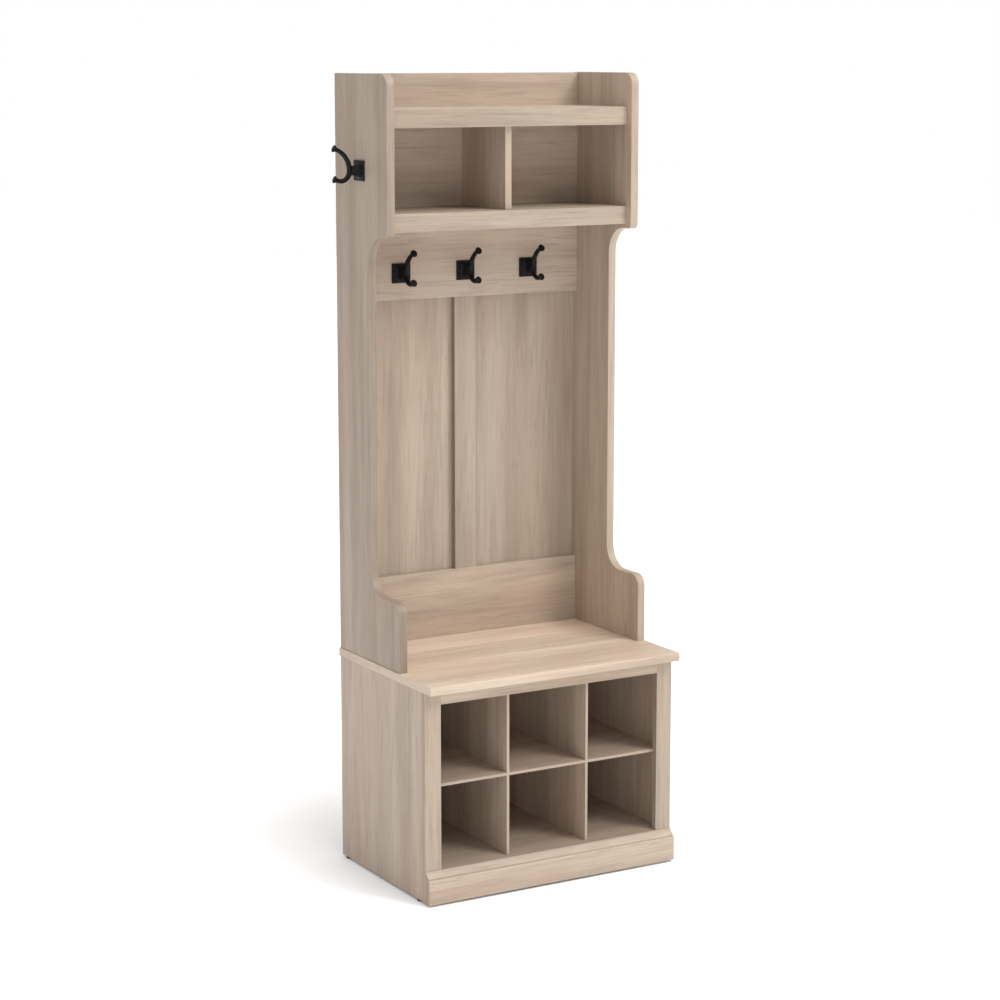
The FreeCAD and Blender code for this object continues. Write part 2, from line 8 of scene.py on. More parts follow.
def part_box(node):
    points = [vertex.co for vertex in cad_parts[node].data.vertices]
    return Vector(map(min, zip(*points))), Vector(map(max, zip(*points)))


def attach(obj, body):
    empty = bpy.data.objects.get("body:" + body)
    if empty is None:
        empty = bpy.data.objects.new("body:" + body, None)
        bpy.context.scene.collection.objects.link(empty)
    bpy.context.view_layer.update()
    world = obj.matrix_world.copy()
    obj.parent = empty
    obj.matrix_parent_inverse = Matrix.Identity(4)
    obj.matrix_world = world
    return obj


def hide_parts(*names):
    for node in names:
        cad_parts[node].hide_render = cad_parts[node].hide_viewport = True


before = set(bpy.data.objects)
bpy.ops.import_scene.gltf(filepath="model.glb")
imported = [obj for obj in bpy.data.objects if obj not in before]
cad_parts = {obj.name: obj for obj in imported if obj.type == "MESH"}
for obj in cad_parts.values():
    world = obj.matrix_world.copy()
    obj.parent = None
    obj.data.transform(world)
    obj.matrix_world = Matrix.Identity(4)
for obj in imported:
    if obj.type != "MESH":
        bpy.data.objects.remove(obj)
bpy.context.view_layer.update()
print("frame loaded:", len(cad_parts), "nodes")
axes = "XYZ"


# ---- camera, floor and lights
cameraView = {
    "place": (-2.6548, -4.5719, 1.7427),
    "turn": 30.22,      # degrees to the right of the object's own front-to-back line
    "dip": 9.65,        # degrees below level
    "lens": 90.84,
    "shiftY": -0.02,
    "farthest": 50,
}


def placeCamera():
    data = bpy.data.cameras.new("studioCamera")
    camera = bpy.data.objects.new("studioCamera", data)
    bpy.context.scene.collection.objects.link(camera)
    camera.location = cameraView["place"]
    camera.rotation_euler = (math.radians(90 - cameraView["dip"]), 0,
                             -math.radians(cameraView["turn"]))
    data.lens = cameraView["lens"]
    data.shift_y = cameraView["shiftY"]
    data.clip_end = cameraView["farthest"]
    bpy.context.scene.camera = camera


studio = {
    "floorSize": 30,
    "floorColour": (0.90, 0.90, 0.90, 1),
    "floorRoughness": 0.9,
    "farGlow": 0.42,        # lifts the far floor to the same white as the sky
    "glowFrom": 0.0,        # from under the object
    "glowTo": 1.1,          # to this far away
    "skyLow": 0.36,         # what the sky gives the object near the horizon and overhead;
    "skyHigh": 1.05,        # it shows as plain white itself
    "aim": (0.03, 0, 0.9),
    "key": {"place": (2.6, -4.2, 5.6), "size": 2.4, "power": 215},
    "top": {"place": (0.3, -1.7, 6.5), "size": 2.4, "power": 130},
    "fill": {"place": (-2.4, -5.4, 0.7), "size": 3.0, "power": 60},
}


def buildStudio():
    mesh = bpy.data.meshes.new("floor")
    shape = bmesh.new()
    bmesh.ops.create_grid(shape, x_segments=1, y_segments=1, size=studio["floorSize"] / 2)
    shape.to_mesh(mesh)
    shape.free()
    floor = bpy.data.objects.new("floor", mesh)
    bpy.context.scene.collection.objects.link(floor)
    material, tree, surface = newMaterial("paleFloor")
    surface.inputs["Base Color"].default_value = studio["floorColour"]
    surface.inputs["Roughness"].default_value = studio["floorRoughness"]
    surface.inputs["Emission Color"].default_value = (1, 1, 1, 1)
    place = addNode(tree, "TexCoord").outputs["Object"]
    away = addNode(tree, "VectorMath", {0: place}, operation="LENGTH").outputs["Value"]
    glow = maths(tree, "MULTIPLY", ramp(tree, away, studio["glowFrom"], studio["glowTo"]),
                 studio["farGlow"])
    tree.links.new(glow, surface.inputs["Emission Strength"])
    mesh.materials.append(material)
    world = bpy.data.worlds.new("paleSky")
    world.use_nodes = True
    sky = world.node_tree.nodes["Background"]
    sky.inputs["Color"].default_value = (1, 1, 1, 1)
    tree = world.node_tree
    way = addNode(tree, "SeparateXYZ", {"Vector": addNode(tree, "TexCoord").outputs["Generated"]})
    rise = maths(tree, "MAXIMUM", way.outputs["Z"], 0.0)
    light = maths(tree, "MULTIPLY_ADD", rise, studio["skyHigh"] - studio["skyLow"],
                  studio["skyLow"])
    seen = addNode(tree, "LightPath").outputs["Is Camera Ray"]
    tree.links.new(maths(tree, "MAXIMUM", light, seen), sky.inputs["Strength"])
    bpy.context.scene.world = world
    bpy.context.scene.view_settings.view_transform = "Standard"
    for name in ("key", "top", "fill"):
        softLight(name, **studio[name])


def softLight(name, place, size, power):
    data = bpy.data.lights.new(name, "AREA")
    data.shape = "DISK"
    data.size = size
    data.energy = power
    light = bpy.data.objects.new(name, data)
    bpy.context.scene.collection.objects.link(light)
    light.location = place
    aim = Vector(studio["aim"]) - Vector(place)
    light.rotation_euler = aim.to_track_quat("-Z", "Y").to_euler()


# ---- shader helpers
def addNode(tree, kind, sockets=None, **settings):
    made = tree.nodes.new("ShaderNode" + kind)
    for name, value in settings.items():
        setattr(made, name, value)
    for name, value in (sockets or {}).items():
        if isinstance(value, bpy.types.NodeSocket):
            tree.links.new(value, made.inputs[name])
        else:
            made.inputs[name].default_value = value
    return made


def maths(tree, operation, first, second=0.0, third=0.0):
    return addNode(tree, "Math", {0: first, 1: second, 2: third}, operation=operation).outputs[0]


def ramp(tree, factor, low, high):
    made = addNode(tree, "MapRange", {"Value": factor, "From Min": low, "From Max": high},
                   interpolation_type="SMOOTHSTEP")
    return made.outputs["Result"]


def blend(tree, factor, first, second):
    made = addNode(tree, "Mix", {"Factor": factor}, data_type="RGBA")
    for socket, value in zip((made.inputs[6], made.inputs[7]), (first, second)):
        if isinstance(value, bpy.types.NodeSocket):
            tree.links.new(value, socket)
        else:
            socket.default_value = value
    return made.outputs[2]


def brighten(tree, colour, amount):
    return addNode(tree, "VectorMath", {0: colour, "Scale": amount}, operation="SCALE").outputs[0]


def mark(tree, place, scale, detail, rough=0.5, distortion=0.0):
    made = addNode(tree, "TexNoise", {"Vector": place, "Scale": scale, "Detail": detail,
                                      "Roughness": rough, "Distortion": distortion})
    return made.outputs["Fac"]


def newMaterial(name):
    material = bpy.data.materials.new(name)
    material.use_nodes = True
    tree = material.node_tree
    return material, tree, tree.nodes["Principled BSDF"]


rubAndHighlight = {"samples": 4, "leanFrom": 0.01, "leanTo": 0.20}


def wornAndLitEdge(tree, width):
    # a mask for wear and painted highlight: one along corners and none on flats,
    # from how far a rounded normal leans away
    rounded = addNode(tree, "Bevel", {"Radius": width},
                      samples=rubAndHighlight["samples"]).outputs["Normal"]
    flat = addNode(tree, "NewGeometry").outputs["Normal"]
    lean = addNode(tree, "VectorMath", {0: rounded, 1: flat}, operation="DOT_PRODUCT")
    return ramp(tree, maths(tree, "SUBTRACT", 1.0, lean.outputs["Value"]),
                rubAndHighlight["leanFrom"], rubAndHighlight["leanTo"])


# ---- washed oak-look laminate
laminate = {
    "pale": (0.486, 0.390, 0.304, 1),
    "blush": (0.430, 0.308, 0.232, 1),
    "grey": (0.375, 0.297, 0.228, 1),
    "streak": (0.225, 0.164, 0.118, 1),
    # paler colour, for pale grain lines and for wear and painted highlight on corners
    "paleWornAndLit": (0.560, 0.455, 0.360, 1),
    "stretch": 0.05,        # a mark's width over its length
    "plankWidth": 0.118,
    "plankStep": 0.07,
    "edgeShadeTone": 0.88,    # painted shade: a board's edges are kept a little darker than its broad faces
    "faceLean": 0.6,        # past this a surface is a broad face and not an edge
    "faceSqueeze": 0.3,     # the pattern's scale through a board's thickness, on its faces
    "cloudStretch": 0.3,    # the soft clouds' scale along the grain
    "sway": 0.030,
    "seedShift": (0.371, 0.613, 0.237),
    "edgeWearAndHighlight": 0.0016,
    "figureLines": 15,
    "fibreLight": (0.26, 0.87),
    "roughness": 0.50,
    "roughSpread": 0.22,
    "bump": 0.00008,
}
# each mark's scale, detail and roughness
marks = {
    "sway": (6.0, 2.0), "band": (17.0, 3.0, 0.5), "blushSpot": (8.0, 2.0, 0.45),
    "streaks": (190.0, 4.0, 0.65), "broad": (62.0, 3.0, 0.55), "fibres": (760.0, 3.0, 0.7),
    "contour": (11.0, 1.5, 0.4), "ticks": (430.0, 2.0, 0.5), "patches": (13.0, 2.0, 0.5),
    "fluff": (260.0, 4.0, 0.7, 1.5), "cloudy": (9.0, 3.0, 0.5),
}
# how much of each mark shows in the colour, and how deep it is pressed
strengths = {"blush": 0.55, "broad": 0.20, "darkLine": 0.28, "ringLine": 0.15, "tick": 0.45,
             "paleLine": 0.24, "wearAndHighlight": 0.7}
pressed = {"fibres": 0.6, "darkLine": -1.4, "tick": -0.6}


def fibreSpace(tree, thick, grain, seed):
    # marks run along the grain on a board's faces, and along the tape on its edges
    across = next(axis for axis in axes if axis not in (thick, grain))
    faceScale = {thick: laminate["faceSqueeze"], across: 1.0, grain: laminate["stretch"]}
    edgeScale = {thick: 1.0, across: laminate["stretch"], grain: laminate["stretch"]}
    place = addNode(tree, "TexCoord").outputs["Object"]
    normal = addNode(tree, "NewGeometry").outputs["Normal"]
    facing = addNode(tree, "VectorMath", {0: normal, 1: [float(axis == thick) for axis in axes]},
                     operation="DOT_PRODUCT").outputs["Value"]
    onFace = maths(tree, "GREATER_THAN", maths(tree, "ABSOLUTE", facing), laminate["faceLean"])
    onBack = maths(tree, "GREATER_THAN", facing, laminate["faceLean"])
    shift = [seed * step for step in laminate["seedShift"]]
    sides = [addNode(tree, "Mapping", {"Vector": place, "Location": shift,
                                       "Scale": [scale[axis] for axis in axes]}).outputs[0]
             for scale in (edgeScale, faceScale)]
    chosen = addNode(tree, "Mix", {"Factor": onFace}, data_type="VECTOR")
    tree.links.new(sides[0], chosen.inputs[4])
    tree.links.new(sides[1], chosen.inputs[5])
    fibre = chosen.outputs[1]
    split = addNode(tree, "SeparateXYZ", {"Vector": fibre})
    waver = maths(tree, "MULTIPLY_ADD", mark(tree, fibre, *marks["sway"]), laminate["sway"],
                  -laminate["sway"] / 2)
    swayed = addNode(tree, "VectorMath", {0: fibre, 1: waver}, operation="ADD").outputs[0]
    cloudScale = {thick: 1.0, across: 1.0, grain: laminate["cloudStretch"]}
    cloud = addNode(tree, "Mapping", {"Vector": place, "Location": shift,
                                      "Scale": [cloudScale[axis] for axis in axes]}).outputs[0]
    return swayed, split.outputs[axes.index(across)], cloud, onFace, onBack


def share(tree, value, name):
    return maths(tree, "MULTIPLY", value, strengths[name])


def laminateFinish(name, thick, grain, seed, toneWithPaintedLight, backing):
    material, tree, surface = newMaterial(name)
    swayed, across, cloud, onFace, onBack = fibreSpace(tree, thick, grain, seed)

    # planks of the printed pattern: each takes its own tone and its own stretch of grain
    plank = maths(tree, "FLOOR", maths(tree, "DIVIDE", across, laminate["plankWidth"]))
    luck = addNode(tree, "TexWhiteNoise", {"W": plank}, noise_dimensions="1D")
    jump = addNode(tree, "VectorMath", {0: luck.outputs["Color"], 1: swayed}, operation="ADD")
    grainPlace = jump.outputs[0]

    band = mark(tree, swayed, *marks["band"])
    blushSpot = mark(tree, cloud, *marks["blushSpot"])
    streaks = mark(tree, grainPlace, *marks["streaks"])
    broad = mark(tree, grainPlace, *marks["broad"])
    fibres = mark(tree, grainPlace, *marks["fibres"])
    contour = mark(tree, grainPlace, *marks["contour"])
    figure = maths(tree, "SINE", maths(tree, "MULTIPLY", contour,
                                       2 * math.pi * laminate["figureLines"]))
    ticks = mark(tree, grainPlace, *marks["ticks"])
    patches = mark(tree, cloud, *marks["patches"])

    colour = blend(tree, ramp(tree, band, 0.32, 0.64), laminate["grey"], laminate["pale"])
    colour = blend(tree, share(tree, ramp(tree, blushSpot, 0.44, 0.68), "blush"), colour,
                   laminate["blush"])
    colour = blend(tree, share(tree, ramp(tree, broad, 0.50, 0.68), "broad"), colour,
                   laminate["streak"])
    darkLine = share(tree, ramp(tree, streaks, 0.50, 0.70), "darkLine")
    colour = blend(tree, darkLine, colour, laminate["streak"])
    ringLine = maths(tree, "MULTIPLY", ramp(tree, figure, 0.35, 1.0),
                     ramp(tree, patches, 0.42, 0.62))
    colour = blend(tree, share(tree, ringLine, "ringLine"), colour, laminate["streak"])
    tick = maths(tree, "MULTIPLY", ramp(tree, ticks, 0.60, 0.72), ramp(tree, patches, 0.36, 0.60))
    colour = blend(tree, share(tree, tick, "tick"), colour, laminate["streak"])
    paleLine = share(tree, ramp(tree, streaks, 0.46, 0.30), "paleLine")
    colour = blend(tree, paleLine, colour, laminate["paleWornAndLit"])
    # wear and painted highlight: corners painted paler, as where eased edges catch the light
    wearAndHighlight = maths(tree, "MULTIPLY", wornAndLitEdge(tree, laminate["edgeWearAndHighlight"]),
                 maths(tree, "MULTIPLY_ADD", patches, 1.2, -0.1))
    colour = blend(tree, share(tree, wearAndHighlight, "wearAndHighlight"), colour, laminate["paleWornAndLit"])
    light = maths(tree, "MULTIPLY_ADD", fibres, *laminate["fibreLight"])
    plankTone = maths(tree, "MULTIPLY_ADD", luck.outputs["Value"], laminate["plankStep"],
                      1 - laminate["plankStep"] / 2)
    # the tone carries painted light and shade as well as the print's own lightness
    light = maths(tree, "MULTIPLY", maths(tree, "MULTIPLY", light, plankTone), toneWithPaintedLight)
    # painted shade: the edges are darkened beside the broad faces
    edgeShade = maths(tree, "MULTIPLY_ADD", onFace, 1 - laminate["edgeShadeTone"],
                    laminate["edgeShadeTone"])
    colour = brighten(tree, colour, maths(tree, "MULTIPLY", light, edgeShade))
    if backing:
        colour = blend(tree, onBack, colour, boardPaper(tree, cloud))
    tree.links.new(colour, surface.inputs["Base Color"])

    rough = maths(tree, "MULTIPLY_ADD", streaks, laminate["roughSpread"],
                  laminate["roughness"] - laminate["roughSpread"] / 2)
    tree.links.new(rough, surface.inputs["Roughness"])
    height = maths(tree, "ADD", maths(tree, "MULTIPLY", fibres, pressed["fibres"]),
                   maths(tree, "MULTIPLY", darkLine, pressed["darkLine"]))
    height = maths(tree, "ADD", height, maths(tree, "MULTIPLY", tick, pressed["tick"]))
    bump = addNode(tree, "Bump", {"Height": height, "Distance": laminate["bump"], "Strength": 1.0})
    tree.links.new(bump.outputs["Normal"], surface.inputs["Normal"])
    return material


paper = {"light": (0.46, 0.38, 0.29, 1), "dark": (0.33, 0.25, 0.175, 1), "fluff": 0.7}


def boardPaper(tree, place):
    # plain pressed-fibre back of a thin sheet
    fluff = mark(tree, place, *marks["fluff"])
    cloudy = mark(tree, place, *marks["cloudy"])
    mixed = maths(tree, "ADD", maths(tree, "MULTIPLY", fluff, paper["fluff"]),
                  maths(tree, "MULTIPLY", cloudy, 1 - paper["fluff"]))
    return blend(tree, ramp(tree, mixed, 0.38, 0.64), paper["dark"], paper["light"])


# boards by the axis through their thickness and the axis their grain runs along, each with its
# tone: how light its own print is beside the laminate's colours, and painted light and shade
# set board by board, as on the lighter seat and the darker left hutch side and shelf rails
boards = {
    ("X", "Z"): {"left_hutch_side": 0.77, "right_hutch_side": 1.00, "left_bench_side": 0.93,
                 "right_bench_side": 1.0, "left_divider": 1.0, "right_divider": 1.0,
                 "cubby_divider": 1.0},
    ("Y", "Z"): {"left_stile": 0.87, "right_stile": 0.87, "centre_stile": 0.81,
                 "left_recess_panel": 0.92, "right_recess_panel": 0.86, "bench_back_sheet": 0.98},
    ("Z", "X"): {"bench_seat": 1.32, "bench_deck": 0.84, "middle_shelf": 1.0,
                 "top_shelf": 0.95, "cubby_floor": 0.80},
    ("Y", "X"): {"seat_rail": 1.02, "plinth": 1.02, "top_shelf_rail": 0.82,
                 "cubby_floor_rail": 0.78, "upper_back_board": 1.02, "lower_back_board": 1.06},
}
thinSheets = ("left_recess_panel", "right_recess_panel", "bench_back_sheet")


def dress(node, material):
    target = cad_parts[node]
    target.data.materials.clear()
    target.data.materials.append(material)


def finishBoards():
    seed = 0
    for (thick, grain), tonesWithPaintedLight in boards.items():
        for name, toneWithPaintedLight in tonesWithPaintedLight.items():
            seed += 1
            dress(name, laminateFinish(name + "Laminate", thick, grain, seed, toneWithPaintedLight,
                                       name in thinSheets))
    print("boards finished:", seed)


# ---- metal, plastic and dowel finishes
smallFinishes = {
    "powderCoat": {"dark": (0.004, 0.004, 0.0045, 1), "light": (0.009, 0.009, 0.0095, 1),
                   "rubbedAndLit": (0.035, 0.033, 0.031, 1), "metallic": 0.0, "roughness": 0.46,
                   "spread": 0.16, "shine": 0.15, "grainScale": 1300, "bump": 0.00005,
                   "wearAndHighlight": 0.0007},
    "blackOxide": {"dark": (0.012, 0.012, 0.013, 1), "light": (0.035, 0.034, 0.034, 1),
                   "rubbedAndLit": (0.18, 0.17, 0.16, 1), "metallic": 0.6, "roughness": 0.36,
                   "spread": 0.2, "grainScale": 2200, "bump": 0.00001, "wearAndHighlight": 0.0002},
    "brightZinc": {"dark": (0.48, 0.48, 0.46, 1), "light": (0.66, 0.66, 0.63, 1),
                   "rubbedAndLit": (0.78, 0.78, 0.76, 1), "metallic": 1.0, "roughness": 0.30,
                   "spread": 0.2, "grainScale": 1800, "bump": 0.00001, "wearAndHighlight": 0.0002},
    "castZinc": {"dark": (0.30, 0.30, 0.31, 1), "light": (0.47, 0.47, 0.48, 1),
                 "rubbedAndLit": (0.66, 0.66, 0.66, 1), "metallic": 1.0, "roughness": 0.46,
                 "spread": 0.2, "grainScale": 900, "bump": 0.00004, "wearAndHighlight": 0.0003},
    "nylon": {"dark": (0.016, 0.015, 0.014, 1), "light": (0.028, 0.027, 0.025, 1),
              "rubbedAndLit": (0.09, 0.085, 0.08, 1), "metallic": 0.0, "roughness": 0.52,
              "spread": 0.2, "grainScale": 1600, "bump": 0.00004, "wearAndHighlight": 0.0005},
    "beech": {"dark": (0.40, 0.25, 0.13, 1), "light": (0.62, 0.44, 0.27, 1),
              "rubbedAndLit": (0.70, 0.54, 0.36, 1), "metallic": 0.0, "roughness": 0.66,
              "spread": 0.2, "grainScale": 1100, "bump": 0.00006, "wearAndHighlight": 0.0004},
}


finishMarks = {"cloudy": (70.0, 3.0, 0.55), "grit": (2.0, 0.6), "cloudShare": 0.6,
               "tintFrom": 0.36, "tintTo": 0.64, "wearAndHighlightFrom": 0.34, "wearAndHighlightTo": 0.62,
               "wearAndHighlightShare": 0.8, "plainShine": 0.5}


def smallFinish(name):
    want = smallFinishes[name]
    material, tree, surface = newMaterial(name)
    place = addNode(tree, "TexCoord").outputs["Object"]
    cloudy = mark(tree, place, *finishMarks["cloudy"])
    grit = mark(tree, place, want["grainScale"], *finishMarks["grit"])
    tinted = maths(tree, "ADD", maths(tree, "MULTIPLY", cloudy, finishMarks["cloudShare"]),
                   maths(tree, "MULTIPLY", grit, 1 - finishMarks["cloudShare"]))
    tint = ramp(tree, tinted, finishMarks["tintFrom"], finishMarks["tintTo"])
    colour = blend(tree, tint, want["dark"], want["light"])
    # wear and painted highlight: corners painted lighter
    wearAndHighlight = maths(tree, "MULTIPLY", wornAndLitEdge(tree, want["wearAndHighlight"]),
                 ramp(tree, cloudy, finishMarks["wearAndHighlightFrom"], finishMarks["wearAndHighlightTo"]))
    colour = blend(tree, maths(tree, "MULTIPLY", wearAndHighlight, finishMarks["wearAndHighlightShare"]), colour,
                   want["rubbedAndLit"])
    tree.links.new(colour, surface.inputs["Base Color"])
    surface.inputs["Metallic"].default_value = want["metallic"]
    surface.inputs["Specular IOR Level"].default_value = want.get("shine", finishMarks["plainShine"])
    rough = maths(tree, "MULTIPLY_ADD", tinted, want["spread"],
                  want["roughness"] - want["spread"] / 2)
    tree.links.new(rough, surface.inputs["Roughness"])
    bump = addNode(tree, "Bump", {"Height": grit, "Distance": want["bump"], "Strength": 1.0})
    tree.links.new(bump.outputs["Normal"], surface.inputs["Normal"])
    return material


# ---- mesh helpers
def settled(piece):
    # the piece's mesh with its modifiers applied, as a new shape
    graph = bpy.context.evaluated_depsgraph_get()
    mesh = bpy.data.meshes.new_from_object(piece.evaluated_get(graph))
    shape = bmesh.new()
    shape.from_mesh(mesh)
    bpy.data.meshes.remove(mesh)
    bpy.data.objects.remove(piece)
    return shape


def asMesh(name, shape, smooth=False):
    bmesh.ops.recalc_face_normals(shape, faces=shape.faces)
    for face in shape.faces:
        face.smooth = smooth
    mesh = bpy.data.meshes.new(name)
    shape.to_mesh(mesh)
    shape.free()
    return mesh


def asObject(name, shape, material=None, smooth=False):
    mesh = asMesh(name, shape, smooth)
    if material:
        mesh.materials.append(material)
    piece = bpy.data.objects.new(name, mesh)
    bpy.context.scene.collection.objects.link(piece)
    return piece


def standIn(piece, node):
    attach(piece, "root")
    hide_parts(node)


def carve(shape, cutter):
    body = asObject("blank", shape)
    tool = asObject("cutter", cutter)
    boolean = body.modifiers.new("carve", "BOOLEAN")
    boolean.operation = "DIFFERENCE"
    boolean.solver = "EXACT"
    boolean.use_self = True
    boolean.object = tool
    carved = settled(body)
    bpy.data.objects.remove(tool)
    return carved


def stamp(target, mesh, matrix):
    # adds a copy of a finished mesh to a shape, at its place
    before = len(target.verts)
    target.from_mesh(mesh)
    target.verts.ensure_lookup_table()
    bmesh.ops.transform(target, matrix=matrix, verts=target.verts[before:])


def middleOf(verts):
    return sum((vert.co for vert in verts), Vector()) / len(verts)


def startRing(shape, radius, segments, place=(0, 0, 0)):
    made = bmesh.ops.create_circle(shape, radius=radius, segments=segments)
    bmesh.ops.translate(shape, vec=place, verts=made["verts"])
    ring = list({edge for vert in made["verts"] for edge in vert.link_edges})
    bmesh.ops.contextual_create(shape, geom=ring)
    return ring


def growRing(shape, ring, move, radius):
    made = bmesh.ops.extrude_edge_only(shape, edges=ring)
    verts = [item for item in made["geom"] if isinstance(item, bmesh.types.BMVert)]
    bmesh.ops.transform(shape, matrix=move, verts=verts)
    middle = middleOf(verts)
    ratio = radius / (verts[0].co - middle).length
    bmesh.ops.scale(shape, vec=(ratio, ratio, ratio), space=Matrix.Translation(-middle), verts=verts)
    fresh = set(verts)
    return [item for item in made["geom"] if isinstance(item, bmesh.types.BMEdge)
            and fresh.issuperset(item.verts)]


def turned(profile, segments):
    # a closed turned piece from (height, radius) steps, lowest first
    shape = bmesh.new()
    height, radius = profile[0]
    ring = startRing(shape, radius, segments, (0, 0, height))
    for level, radius in profile[1:]:
        ring = growRing(shape, ring, Matrix.Translation((0, 0, level - height)), radius)
        height = level
    bmesh.ops.contextual_create(shape, geom=ring)
    return shape


def block(shape, size, place):
    made = bmesh.ops.create_cube(shape, size=1)
    bmesh.ops.scale(shape, vec=size, verts=made["verts"])
    bmesh.ops.translate(shape, vec=place, verts=made["verts"])
    return made["verts"]


def solidBoxes(node):
    # the box of each separate solid in a node, from its own mesh
    shape = bmesh.new()
    shape.from_mesh(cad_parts[node].data)
    bmesh.ops.remove_doubles(shape, verts=shape.verts, dist=1e-6)
    waiting = set(shape.verts)
    boxes = []
    while waiting:
        island = set()
        edge = [next(iter(waiting))]
        while edge:
            vert = edge.pop()
            if vert not in island:
                island.add(vert)
                edge += [link.other_vert(vert) for link in vert.link_edges]
        waiting -= island
        spread = list(zip(*(vert.co for vert in island)))
        boxes.append((Vector([min(values) for values in spread]),
                      Vector([max(values) for values in spread])))
    shape.free()
    return sorted(boxes, key=lambda pair: tuple(round(value, 5) for value in pair[0]))


# ---- cast hooks
hook = {
    "plateWide": 0.044, "plateHigh": 0.042, "plateThick": 0.004,
    "plateCorner": 0.0008, "plateBevel": 0.0013,
    "screwSpread": 0.0163, "sinkRadius": 0.0039, "sinkPoint": 0.0004, "sinkDeep": 0.0021,
    "sinkLift": 0.001,      # how far the seat's cutter stands proud of the plate
    # the boss's width, height and reach from the wall, at three places along it
    "foot": (0.027, 0.036, 0.003), "waist": (0.015, 0.024, 0.009), "neck": (0.0086, 0.017, 0.0215),
    "bossSteps": 5, "bossRound": 0.0022, "bossSlab": 0.001,
    "rodReach": 0.024, "rodLevel": -0.0005, "rodRadius": 0.0056, "tipRadius": 0.0046,
    "upperArc": (0.047, 67), "lowerArc": (0.0205, -110),      # radius, and degrees of bend
    "arcSteps": 16, "ringSegments": 28,
    "flare": ((0.30, 0.63), (0.55, 0.74), (0.78, 0.92), (0.90, 1.0), (0.97, 0.98), (1.03, 0.88),
              (1.07, 0.62), (1.095, 0.30)),      # parts of the flare's length and radius
    "flareLong": 0.0085, "flareRadius": 0.0080,
    "voxel": 0.00045, "softening": 3,
}


def hookPlate():
    shape = bmesh.new()
    wide, high, thick = hook["plateWide"], hook["plateHigh"], hook["plateThick"]
    block(shape, (wide, thick, high), (0, -thick / 2, 0))
    corners = [edge for edge in shape.edges
               if abs(edge.verts[0].co.y - edge.verts[1].co.y) > thick / 2]
    bmesh.ops.bevel(shape, geom=corners, offset=hook["plateCorner"], segments=3, affect="EDGES",
                    profile=0.5, material=-1)
    front = [edge for edge in shape.edges if all(vert.co.y < -thick * 0.99 for vert in edge.verts)]
    bmesh.ops.bevel(shape, geom=front, offset=hook["plateBevel"], segments=2, affect="EDGES",
                    profile=0.5, material=-1)
    sinks = bmesh.new()
    lift = hook["sinkLift"]
    widen = hook["sinkRadius"] / hook["sinkDeep"] * lift
    for side in (-1, 1):
        turn = Matrix.Translation((side * hook["screwSpread"], -thick, 0)) \
            @ Matrix.Rotation(math.pi / 2, 4, "X")
        made = bmesh.ops.create_cone(sinks, cap_ends=True, segments=32,
                                     radius1=hook["sinkPoint"],
                                     radius2=hook["sinkRadius"] + widen,
                                     depth=hook["sinkDeep"] + lift)
        bmesh.ops.translate(sinks, vec=(0, 0, (lift - hook["sinkDeep"]) / 2), verts=made["verts"])
        bmesh.ops.transform(sinks, matrix=turn, verts=made["verts"])
    return carve(shape, sinks)


def hookBoss():
    # the block swells into the plate and thins towards the neck
    shape = bmesh.new()
    (wide, high, reach), slab = hook["foot"], hook["bossSlab"]
    block(shape, (wide, slab, high), (0, slab / 2 - reach, 0))
    front = min(shape.faces, key=lambda face: face.calc_center_median().y)
    last = Vector((wide, reach, high))
    for start, end in ((hook["foot"], hook["waist"]), (hook["waist"], hook["neck"])):
        for step in range(1, hook["bossSteps"] + 1):
            part = step / hook["bossSteps"]
            eased = part if end is hook["neck"] else math.sin(part * math.pi / 2)
            size = Vector((start[0] + (end[0] - start[0]) * eased,
                           start[2] + (end[2] - start[2]) * part,
                           start[1] + (end[1] - start[1]) * eased))
            made = bmesh.ops.extrude_discrete_faces(shape, faces=[front])
            front = made["faces"][0]
            verts = list(front.verts)
            bmesh.ops.translate(shape, vec=(0, last.y - size.y, 0), verts=verts)
            bmesh.ops.scale(shape, vec=(size.x / last.x, 1, size.z / last.z), verts=verts)
            last = size
    ridges = [edge for edge in shape.edges
              if abs(edge.verts[0].co.y - edge.verts[1].co.y) > 1e-5]
    bmesh.ops.bevel(shape, geom=ridges, offset=hook["bossRound"], segments=3, affect="EDGES",
                    profile=0.5, material=-1, clamp_overlap=True)
    return shape


def hookArm(arc):
    # a tapered rod round one arc, ending in a trumpet with a domed face
    shape = bmesh.new()
    radius, sweep = arc
    steps = hook["arcSteps"]
    ring = startRing(shape, hook["rodRadius"], hook["ringSegments"],
                     (0, -hook["rodReach"], hook["rodLevel"]))
    centre = Matrix.Translation((0, -hook["rodReach"] - radius, hook["rodLevel"]))
    turn = centre @ Matrix.Rotation(math.radians(sweep) / steps, 4, "X") @ centre.inverted()
    for step in range(1, steps + 1):
        part = step / steps
        ring = growRing(shape, ring, turn,
                        hook["rodRadius"] + (hook["tipRadius"] - hook["rodRadius"]) * part)
    along = Matrix.Rotation(math.radians(sweep), 3, "X") @ Vector((0, 0, math.copysign(1, sweep)))
    gone = 0
    for reach, size in hook["flare"]:
        move = Matrix.Translation(along * (reach - gone) * hook["flareLong"])
        ring = growRing(shape, ring, move, size * hook["flareRadius"])
        gone = reach
    bmesh.ops.contextual_create(shape, geom=ring)
    return shape


